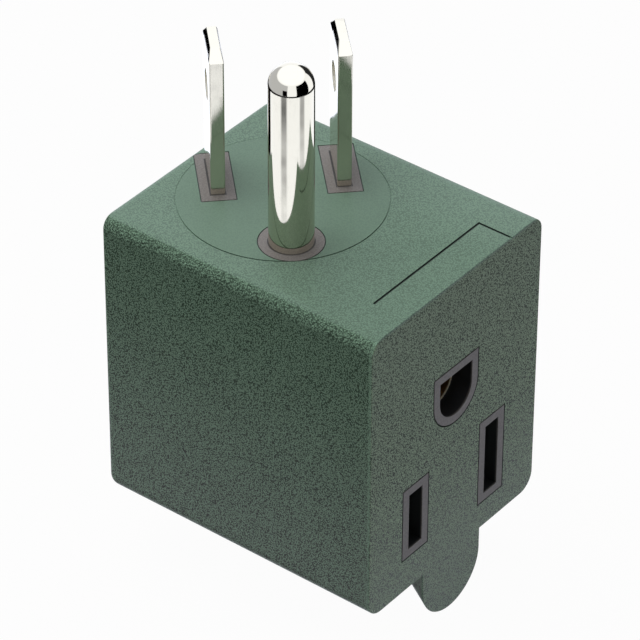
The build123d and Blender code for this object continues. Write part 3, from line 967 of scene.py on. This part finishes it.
@dataclass
class Housing:
    """The moulded body with its finger tab, its fine lines and the pockets of the two cores."""

    plug: PlugPattern
    outlet: OutletPattern
    half_width: float = 13.85
    front_y: float = -21.9
    back_y: float = 12.3
    bottom_z: float = -34.5
    top_radius: float = 1.7
    bottom_radius: float = 2.0
    back_radius: float = 1.0
    front_radius: float = 0.12
    round_steps: int = 12
    back_steps: int = 8
    front_steps: int = 3
    tab_radius: float = 4.8
    tab_drop: float = 2.4
    tab_slope: float = 1.15
    tab_root: float = 1.0
    line_depth: float = 0.14
    faint_depth: float = 0.015
    circle_sides: int = 192
    field_line_width: float = 0.14
    rule_line_width: float = 0.26
    rule_setback: float = 4.0
    rule_span: Span = (-8.45, 8.65)
    seam_width: float = 0.1
    seam_depth: float = 0.12
    core_x: float = 10.2
    core_y: Span = (-20.3, -1.4)
    core_z: Span = (-32.4, -9.7)
    plug_core_z: Span = (-6.5, -2.0)

    def build(self, material: bpy.types.Material) -> None:
        """Model the housing and place it.

        Args:
            material: The grained PVC.
        """
        piece = Modeller.to_object(self.block(), "housing_skin")
        Modeller.cut(piece, [self.tab()], "UNION")
        Modeller.cut(piece, self.pockets())
        Modeller.cut(piece, self.fine_lines())
        Modeller.finish(piece, material, Slot.PVC, "housing")

    def block(self) -> bmesh.types.BMesh:
        """Return the plain body with all its edges rounded."""
        shape = Modeller.box((-self.half_width, self.half_width), (self.front_y, self.back_y),
                             (self.bottom_z, 0.0))

        def along_y(z: float) -> Callable[[bmesh.types.BMEdge], bool]:
            """Return a test for the long edges that run along Y at a height."""
            def test(edge: bmesh.types.BMEdge) -> bool:
                """Tell whether an edge is one of them."""
                first, second = (vert.co for vert in edge.verts)
                return abs(first.y - second.y) > LONG and abs(first.z - z) < TOUCH
            return test

        for test, radius, steps in (
                (along_y(0.0), self.top_radius, self.round_steps),
                (along_y(self.bottom_z), self.bottom_radius, self.round_steps),
                (Modeller.on_plane(self.back_y), self.back_radius, self.back_steps),
                (Modeller.on_plane(self.front_y), self.front_radius, self.front_steps)):
            Modeller.bevel_where(shape, test, radius, steps)
        return shape

    def tab(self) -> bmesh.types.BMesh:
        """Return the tab: a round tongue that runs back and up into the body."""
        shape = Modeller.upright_disc(self.tab_radius)
        upper = [vert for vert in shape.verts if vert.co.z > TOUCH]
        bmesh.ops.translate(shape, vec=(0, 0, self.tab_drop + self.tab_root), verts=upper)
        bmesh.ops.translate(shape, vec=(0, self.front_y, self.bottom_z - self.tab_drop),
                            verts=shape.verts)
        reach = (self.tab_drop + self.tab_radius + self.tab_root) / self.tab_slope
        Modeller.extrude(shape, list(shape.faces), (0, reach, reach * self.tab_slope))
        Modeller.bevel_where(shape, Modeller.on_plane(self.front_y), self.front_radius,
                             self.front_steps)
        return shape

    def pockets(self) -> list[bmesh.types.BMesh]:
        """Return the room of the two cores, their collars and their frames."""
        skin = (self.front_y - CLEAR, self.core_y[0])
        shapes = [Modeller.box((-self.core_x, self.core_x), self.core_y, self.core_z),
                  Modeller.rod(self.plug.field_radius, self.plug_core_z)]
        shapes += self.outlet.outlines(self.outlet.frame_margin, skin)
        shapes += self.plug.outlines(self.plug.margin, (self.plug_core_z[1], CLEAR))
        return shapes

    def field_line(self) -> bmesh.types.BMesh:
        """Return the circle as a ring, tilted so that it cuts deepest on the pin's side."""
        radius = self.plug.field_radius
        half = self.field_line_width / 2
        middle = (self.line_depth + self.faint_depth) / 2
        tilt = math.atan((self.line_depth - middle) / radius)
        ring = Modeller.to_object(
            Modeller.rod(radius + half, (-middle, CLEAR), sides=self.circle_sides), "field_line")
        Modeller.cut(ring, [Modeller.rod(radius - half, (-CLEAR, 2 * CLEAR),
                                         sides=self.circle_sides)])
        circle = bmesh.new()
        circle.from_mesh(ring.data)
        bpy.data.meshes.remove(ring.data)
        bmesh.ops.rotate(circle, matrix=Matrix.Rotation(tilt, 3, "X"), verts=circle.verts)
        return Modeller.turned(circle, self.plug.turn)

    def fine_lines(self) -> list[bmesh.types.BMesh]:
        """Return the circle, the rule and the seams round the collars and frames."""
        depth = (-self.line_depth, CLEAR)
        half = self.rule_line_width / 2
        rule_y = self.front_y + self.rule_setback
        left, right = self.rule_span
        ahead = self.front_y - CLEAR
        shapes = [self.field_line(),
                  Modeller.box((left, right + half), (rule_y - half, rule_y + half), depth),
                  Modeller.box((right - half, right + half), (ahead, rule_y), depth)]
        shapes += self.outlet.outlines(self.outlet.frame_margin + self.seam_width,
                                       (ahead, self.front_y + self.seam_depth))
        shapes += self.plug.outlines(self.plug.margin + self.seam_width,
                                     (-self.seam_depth, CLEAR))
        return shapes


@dataclass
class Blade:
    """A flat prong: a rolled strip with a bevelled tip, a round hole and a narrower tail."""

    plug: PlugPattern
    side: Side
    tail: Span
    tail_end: float
    rivet: Span
    length: float = 16.7
    shoulder: float = -9.0
    corner: float = 0.16
    corner_steps: int = 3
    edge: float = 0.07
    edge_steps: int = 2
    tip_edges_from: float = 1.0
    broken_degrees: float = 20.0
    sharp_degrees: float = 28.0
    tip_height: float = 1.15
    tip_width: float = 3.75
    tip_thickness: float = 0.95
    hole_height: float = 11.2
    hole_radius: float = 1.6
    key_height: float = -4.25
    key_radius: float = 1.25
    rivet_radius: float = 0.6

    def build(self, material: bpy.types.Material) -> None:
        """Model the blade and place it.

        Args:
            material: The nickel plate.
        """
        name = f"{self.side.name.lower()}_prong"
        piece = Modeller.to_object(self.strip(), name)
        holes = [(self.hole_radius, 0.0, self.hole_height), (self.key_radius, 0.0, self.key_height),
                 (self.rivet_radius, *self.rivet)]
        across = (-self.plug.blade_thickness, self.plug.blade_thickness)
        Modeller.cut(piece, [Modeller.rod(radius, across, "X", (y, z)) for radius, y, z in holes])
        turn = Matrix.Rotation(math.radians(self.plug.turn), 4, "Z")
        place = Matrix.Translation((self.side.value * self.plug.blade_x,
                                    self.plug.blade_setback, 0.0))
        piece.data.transform(turn @ place)
        Modeller.finish(piece, material, Slot.NICKEL, f"{self.side.name.lower()}_blade",
                        self.sharp_degrees)

    def strip(self) -> bmesh.types.BMesh:
        """Return the blade at its own centre, before its holes."""
        half_thickness = self.plug.blade_thickness / 2
        half_width = self.plug.blade_width / 2
        shape = Modeller.box((-half_thickness, half_thickness), (-half_width, half_width),
                             (self.shoulder, self.length - self.tip_height))
        self.pull(shape, Vector((0, 0, 1)), self.tip_height,
                  (self.tip_thickness / self.plug.blade_thickness,
                   self.tip_width / self.plug.blade_width))
        for y in self.tail:
            if abs(y) < half_width - TOUCH:
                everything = [*shape.verts, *shape.edges, *shape.faces]
                bmesh.ops.bisect_plane(shape, geom=everything, plane_co=(0, y, 0),
                                       plane_no=(0, 1, 0))
        self.pull(shape, Vector((0, 0, -1)), self.shoulder - self.tail_end, (1.0, 1.0))

        def is_corner(edge: bmesh.types.BMEdge) -> bool:
            """Tell whether an edge is one of the four long corners."""
            first, second = (vert.co for vert in edge.verts)
            upright = abs(first.z - second.z) > LONG
            above_tail = min(first.z, second.z) > self.shoulder - TOUCH
            return upright and above_tail and abs(abs(first.y) - half_width) < TOUCH

        def is_tip_edge(edge: bmesh.types.BMEdge) -> bool:
            """Tell whether an edge of the tip turns enough to be broken."""
            if min(vert.co.z for vert in edge.verts) < self.tip_edges_from or not edge.is_manifold:
                return False
            return math.degrees(edge.calc_face_angle(0.0)) > self.broken_degrees

        Modeller.bevel_where(shape, is_corner, self.corner, self.corner_steps)
        Modeller.bevel_where(shape, is_tip_edge, self.edge, self.edge_steps)
        return shape

    def pull(self, shape: bmesh.types.BMesh, way: Vector, distance: float, scale: Span) -> None:
        """Extrude the end faces that point one way and lie within the tail, and scale their end.

        Args:
            shape: The blade.
            way: Up for the tip and down for the tail.
            distance: How far the faces move.
            scale: The end's scale in thickness and width.
        """
        def counts(face: bmesh.types.BMFace) -> bool:
            """Tell whether a face is part of the end that moves."""
            middle = face.calc_center_median()
            inside = self.tail[0] - TOUCH < middle.y < self.tail[1] + TOUCH
            return face.normal.dot(way) > 0.9 and (way.z > 0 or inside)

        shape.normal_update()
        faces = [face for face in shape.faces if counts(face)]
        moved = Modeller.extrude(shape, faces, way * distance)
        bmesh.ops.delete(shape, geom=faces, context="FACES")
        bmesh.ops.scale(shape, vec=(*scale, 1.0), verts=moved)


@dataclass
class GroundPin:
    """The round prong: a turned rod with a domed end, a key groove and a riveted spigot."""

    plug: PlugPattern
    length: float = 20.7
    shank_inset: float = 0.2
    stub_end: float = -7.3
    key_height: float = -4.25
    key_half: float = 0.6
    key_depth: float = 0.4
    spigot_radius: float = 1.2
    head_radius: float = 1.9
    shelf: float = 0.8
    head: float = 0.6
    dome_steps: int = 24
    spin_steps: int = 128
    sharp_degrees: float = 30.0

    def build(self, material: bpy.types.Material) -> None:
        """Spin the pin's outline and place it.

        Args:
            material: The nickel plate.
        """
        shape = bmesh.new()
        verts = [shape.verts.new((radius, 0.0, z)) for radius, z in self.outline()]
        edges = [shape.edges.new(pair) for pair in zip(verts, verts[1:])]
        bmesh.ops.spin(shape, geom=[*verts, *edges], cent=(0, 0, 0), axis=(0, 0, 1),
                       angle=math.tau, steps=self.spin_steps, use_merge=True)
        bmesh.ops.remove_doubles(shape, verts=shape.verts, dist=TOUCH)
        Modeller.turned(shape, self.plug.turn, (0, self.plug.pin_y, 0))
        piece = Modeller.to_object(shape, "ground_prong")
        Modeller.finish(piece, material, Slot.NICKEL, "ground_pin", self.sharp_degrees)

    def outline(self) -> list[Span]:
        """Return the pin's outline from its tip to its head, as radius and height."""
        radius = self.plug.pin_radius
        dome_z = self.length - radius
        points = []
        for step in range(self.dome_steps + 1):
            angle = math.pi / 2 * (1 - step / self.dome_steps)
            points.append((radius * math.cos(angle), dome_z + radius * math.sin(angle)))
        low = self.key_height - self.key_half
        high = self.key_height + self.key_half
        shank = radius - self.shank_inset
        narrow = shank - self.key_depth
        head_top = self.stub_end - self.shelf
        head_end = head_top - self.head
        points += [(radius, 0.0), (shank, 0.0), (shank, high), (narrow, high), (narrow, low),
                   (shank, low), (shank, self.stub_end), (self.spigot_radius, self.stub_end),
                   (self.spigot_radius, head_top), (self.head_radius, head_top),
                   (self.head_radius, head_end), (0.0, head_end)]
        return points


@dataclass
class CarriedNodes:
    """The CAD nodes whose shape is right as it is, and the finish of each."""

    core: tuple[str, ...] = ("plug_core", "outlet_core", "outlet_cover")
    brass: tuple[str, ...] = ("line_contact", "neutral_contact", "ground_contact", "line_strap",
                              "neutral_strap", "ground_strap", "contact_rivets", "tail_rivets")

    def dress(self, core: bpy.types.Material, brass: bpy.types.Material) -> None:
        """Give each carried node its finish.

        Args:
            core: The core plastic.
            brass: The rolled brass.
        """
        for names, material in ((self.core, core), (self.brass, brass)):
            for name in names:
                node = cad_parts[name]
                for slot in node.material_slots:
                    slot.material = material
                LOG.info("%s: carried over", name)


@dataclass
class Camera:
    """The camera that was fitted to the photograph.

    Its place is in millimetres, its focal length and the middle of its picture are in pixels,
    its sensor is in Blender's millimetres, and it sees what lies within its clip in metres.
    """

    place: Point = (-277.524, -221.609, 250.580)
    azimuth: float = 218.009
    elevation: float = 36.845
    roll: float = 0.228
    focal: float = 4360.3
    middle: Span = (319.667, 322.602)
    picture: int = 640
    sensor: float = 36.0
    clip: Span = (0.01, 20.0)

    def build(self) -> None:
        """Make the camera and set it as the scene's."""
        azimuth, elevation, roll = (math.radians(angle) for angle in
                                    (self.azimuth, self.elevation, self.roll))
        back = Vector((math.cos(elevation) * math.cos(azimuth),
                       math.cos(elevation) * math.sin(azimuth), math.sin(elevation)))
        right = Vector((-math.sin(azimuth), math.cos(azimuth), 0.0))
        up = back.cross(right)
        level = right * math.cos(roll) + up * math.sin(roll)
        rise = up * math.cos(roll) - right * math.sin(roll)
        data = bpy.data.cameras.new("photo_camera")
        data.sensor_width = self.sensor
        data.lens = self.focal / self.picture * self.sensor
        data.shift_x = 0.5 - self.middle[0] / self.picture
        data.shift_y = self.middle[1] / self.picture - 0.5
        data.clip_start, data.clip_end = self.clip
        camera = bpy.data.objects.new("photo_camera", data)
        turn = Matrix((level, rise, back)).transposed().to_4x4()
        camera.matrix_world = Matrix.Translation(Vector(self.place) * MM) @ turn
        bpy.context.scene.collection.objects.link(camera)
        bpy.context.scene.camera = camera


@dataclass(frozen=True)
class SoftBox:
    """A square lamp that looks at the part and isn't seen in the metal; lengths are metres."""

    name: str
    place: Point
    size: float
    watts: float
    colour: Rgb = (1.0, 1.0, 1.0)
    target: Point = (0.0, -0.005, -0.015)

    def build(self) -> None:
        """Make the lamp."""
        data = bpy.data.lights.new(self.name, "AREA")
        data.shape = "SQUARE"
        data.size = self.size
        data.energy = self.watts
        data.color = self.colour
        lamp = bpy.data.objects.new(self.name, data)
        look = Vector(self.target) - Vector(self.place)
        lamp.matrix_world = (Matrix.Translation(self.place)
                             @ look.to_track_quat("-Z", "Y").to_matrix().to_4x4())
        lamp.visible_glossy = False
        bpy.context.scene.collection.objects.link(lamp)


@dataclass(frozen=True)
class Card:
    """A far card that only the metal and the sheen show.

    Azimuth is counted in degrees from +X towards +Y, and elevation from the horizon.
    """

    azimuth: Span
    elevation: Span
    level: float
    soft: float = 2.0
    soft_elevation: float = 2.0

    def mask(self, azimuth: Value, elevation: Value) -> Value:
        """Return 1 where a direction meets the card.

        Args:
            azimuth: The direction's azimuth.
            elevation: The direction's elevation.

        Returns:
            The mask, with soft edges.
        """
        middle = sum(self.azimuth) / 2
        half = (self.azimuth[1] - self.azimuth[0]) / 2
        offset = azimuth.shader.math("WRAP", azimuth - middle, 180.0, -180.0)
        low, high = self.elevation
        tall = elevation.within(low, high, self.soft_elevation)
        return offset.within(-half, half, self.soft) * tall if half < 180 else tall


@dataclass
class Studio:
    """A pale floor, an even room with cards for the metal, and soft lamps.

    The floor's height is in millimetres and its size in metres.
    """

    floor_z: float = -41.9
    floor_size: float = 6.0
    floor_colour: Rgba = (0.46, 0.44, 0.45, 1.0)
    floor_glow: float = 0.97
    room_level: float = 0.2
    card_white: Rgba = (1.4, 1.47, 1.66, 1.0)
    cards: list[Card] = field(default_factory=lambda: [
        # The bright upper room, a grey wall behind and to the left, and a dark strip on it.
        Card((0, 360), (32, 120), 1.14, soft_elevation=8.0),
        Card((64, 200), (-26, 27), 0.5, soft=3.0),
        Card((178, 199), (-24, 2), 0.0),
        # Dark walls in front and on the right.
        Card((243, 305), (-27, 26), 0.0),
        Card((344, 381), (-27, 25), 0.02),
        # A dark ring below the walls, dark patches behind and on the right, and two dim glows.
        Card((0, 360), (-32.2, -24.5), 0.0, soft_elevation=0.8),
        Card((72, 98), (-40, -24), 0.0),
        Card((0, 35), (-40, -24), 0.0),
        Card((168, 196), (-34.8, -30), 0.12, soft=12.0, soft_elevation=2.6),
        Card((260, 284), (-34.6, -30), 0.3, soft=10.0, soft_elevation=2.4),
        # The dark ground behind and to the left.
        Card((80, 205), (-91, -38), 0.0, soft=3.0),
    ])
    lamps: list[SoftBox] = field(default_factory=lambda: [
        SoftBox("overhead", (-0.01, 0.16, 0.5), size=0.45, watts=2.75),
        SoftBox("low_left", (-0.09, 0.02, -0.036), size=0.04, watts=0.005),
    ])

    def build(self) -> None:
        """Make the floor, the room and the lamps."""
        self.floor()
        self.room()
        for lamp in self.lamps:
            lamp.build()
        bpy.context.scene.view_settings.view_transform = "Standard"

    @staticmethod
    def rays(shader: Shader, *names: str) -> Value:
        """Return 1 for rays of the named kinds."""
        path = shader.node("ShaderNodeLightPath")
        kinds = [Value(shader, path.outputs[f"Is {name} Ray"]) for name in names]
        total = kinds[0]
        for kind in kinds[1:]:
            total = total.larger(kind)
        return total

    def floor(self) -> None:
        """Lay the floor just under the part; the metal sees through it to the room."""
        shape = bmesh.new()
        bmesh.ops.create_grid(shape, x_segments=1, y_segments=1, size=self.floor_size / 2)
        bmesh.ops.translate(shape, vec=(0, 0, self.floor_z * MM), verts=shape.verts)
        floor = Modeller.to_object(shape, "studio_floor")
        material, shader = Shader.for_material("studio_floor")
        paper = shader.node("ShaderNodeBsdfDiffuse", inputs={"Color": self.floor_colour})
        glow = shader.node("ShaderNodeEmission", inputs={"Color": WHITE, "Strength": 1.0})
        clear = shader.node("ShaderNodeBsdfTransparent")
        seen = shader.node("ShaderNodeMixShader", inputs={
            "Fac": self.rays(shader, "Camera") * self.floor_glow,
            1: paper.outputs["BSDF"], 2: glow.outputs["Emission"]})
        mixed = shader.node("ShaderNodeMixShader", inputs={
            "Fac": self.rays(shader, "Glossy", "Transmission"),
            1: seen.outputs["Shader"], 2: clear.outputs["BSDF"]})
        shader.node("ShaderNodeOutputMaterial", inputs={"Surface": mixed.outputs["Shader"]})
        floor.data.materials.append(material)

    def room(self) -> None:
        """Light the part evenly from all round, show white behind it and cards in the metal."""
        world = bpy.data.worlds.new("studio_room")
        world.use_nodes = True
        bpy.context.scene.world = world
        shader = Shader(world.node_tree)
        direction = shader.node("ShaderNodeTexCoord").outputs["Generated"]
        x, y, z = shader.axes(direction)
        azimuth = shader.math("ARCTAN2", y, x) * math.degrees(1.0)
        elevation = shader.math("ARCSINE", z) * math.degrees(1.0)
        level: Value | float = 1.0
        for card in self.cards:
            mask = card.mask(azimuth, elevation)
            level = level * (1.0 - mask) + mask * card.level
        even = shader.node("ShaderNodeBackground", inputs={"Color": WHITE,
                                                           "Strength": self.room_level})
        white = shader.node("ShaderNodeBackground", inputs={"Color": WHITE, "Strength": 1.0})
        shown = shader.node("ShaderNodeBackground", inputs={"Color": self.card_white,
                                                            "Strength": level})
        reflected = shader.node("ShaderNodeMixShader", inputs={
            "Fac": self.rays(shader, "Glossy", "Transmission"),
            1: even.outputs["Background"], 2: shown.outputs["Background"]})
        mixed = shader.node("ShaderNodeMixShader", inputs={
            "Fac": self.rays(shader, "Camera"), 1: reflected.outputs["Shader"],
            2: white.outputs["Background"]})
        shader.node("ShaderNodeOutputWorld", inputs={"Surface": mixed.outputs["Shader"]})


def main() -> None:
    """Build the adapter's visible pieces, dress the rest and set the studio."""
    logging.basicConfig(level=logging.INFO, format="%(name)s: %(message)s")
    plug = PlugPattern()
    outlet = OutletPattern()
    housing = Housing(plug, outlet)
    turned_nickel = NickelPlate(plug).make()
    rolled_nickel = NickelPlate(plug, "rolled_nickel", roughness=0.08, edge_roughness=0.03).make()
    housing.build(GrainedPvc(plug, outlet, housing.front_y).make())
    Blade(plug, Side.LINE, tail=(-2.0, 2.0), tail_end=-28.9,
          rivet=(0.0, -25.9)).build(rolled_nickel)
    Blade(plug, Side.NEUTRAL, tail=(1.175, 3.175), tail_end=-23.9,
          rivet=(2.175, -21.4)).build(rolled_nickel)
    GroundPin(plug).build(turned_nickel)
    CarriedNodes().dress(CorePlastic(plug, housing.front_y).make(), SpringBrass().make())
    Camera().build()
    Studio().build()


if __name__ == "__main__":
    main()
